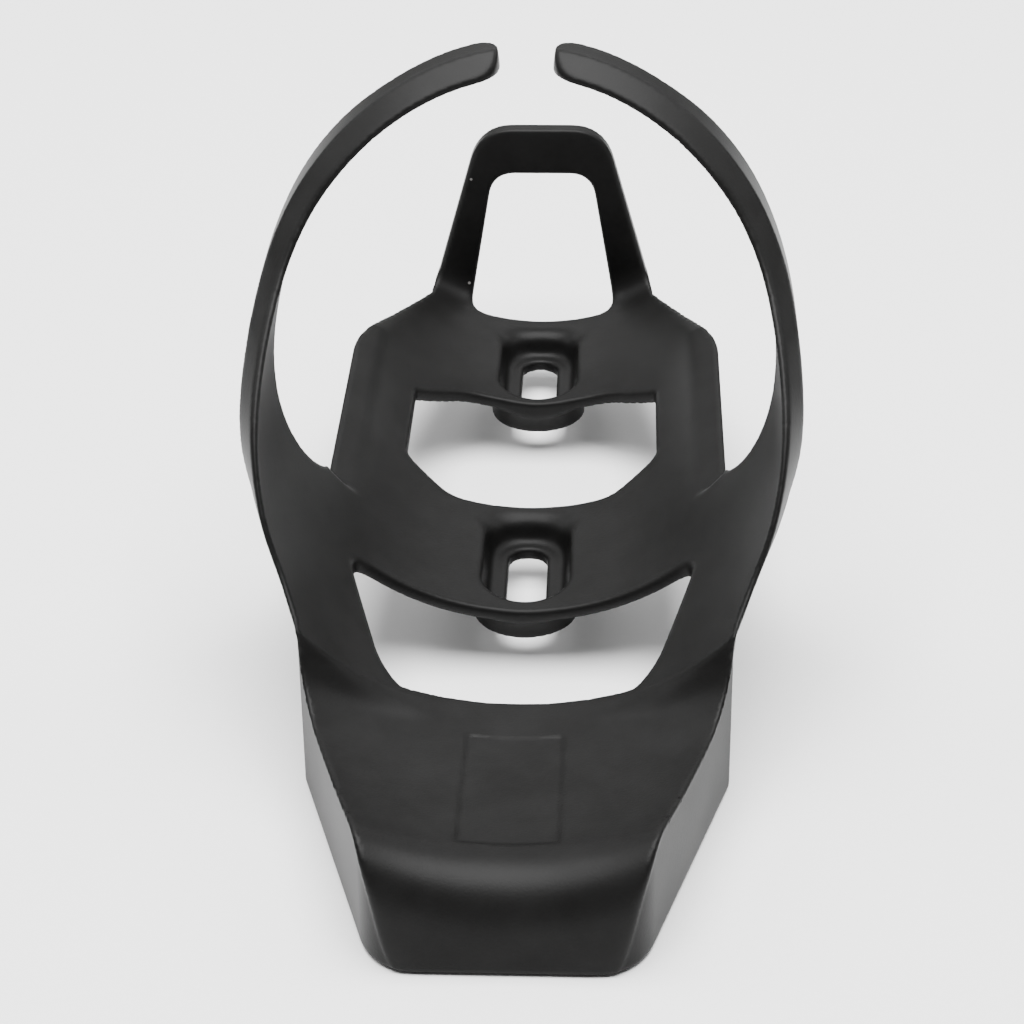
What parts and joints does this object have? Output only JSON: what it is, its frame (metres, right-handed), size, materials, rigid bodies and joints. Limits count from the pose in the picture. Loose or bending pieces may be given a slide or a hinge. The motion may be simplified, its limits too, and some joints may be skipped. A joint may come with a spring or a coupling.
{
  "type": "water bottle cage",
  "caption": "Bicycle bottle cage moulded in black plastic, with two springing arms, slotted bosses, a foot loop and a shrouded top lip.",
  "frame": {"origin": "bottom centre of the bounding box: the lowest edge of the shroud is at z = 0", "axes": "+Z from the frame tube to the bottle, +Y along the bottle from its mouth to its base, X across the cage"},
  "size_m": [0.0796, 0.1744, 0.0861],
  "materials": {
    "black_nylon": "matte, fine moulded texture"
  },
  "bodies": {
    "cradle": {"upper_bridge": "black_nylon", "lower_bridge": "black_nylon", "upper_boss": "black_nylon", "lower_boss": "black_nylon", "foot_loop": "black_nylon", "shroud_panel": "black_nylon", "left_shroud_wall": "black_nylon", "right_shroud_wall": "black_nylon", "left_rail": "black_nylon", "right_rail": "black_nylon", "left_lip": "black_nylon", "right_lip": "black_nylon", "left_wing_root": "black_nylon", "right_wing_root": "black_nylon"},
    "left_arm": {"left_arm": "black_nylon"},
    "right_arm": {"right_arm": "black_nylon"}
  },
  "joints": [
    {"name": "left_arm_flex", "type": "hinge", "parent": "cradle", "child": "left_arm", "pos_m": [-0.0333, -0.0218, 0.0288], "axis": [0, -1, 0], "range_deg": [-1.5, 4], "stiffness_Nm_per_rad": 6},
    {"name": "right_arm_flex", "type": "hinge", "parent": "cradle", "child": "right_arm", "pos_m": [0.0333, -0.0218, 0.0288], "axis": [0, 1, 0], "range_deg": [-1.5, 4], "stiffness_Nm_per_rad": 6}
  ]
}
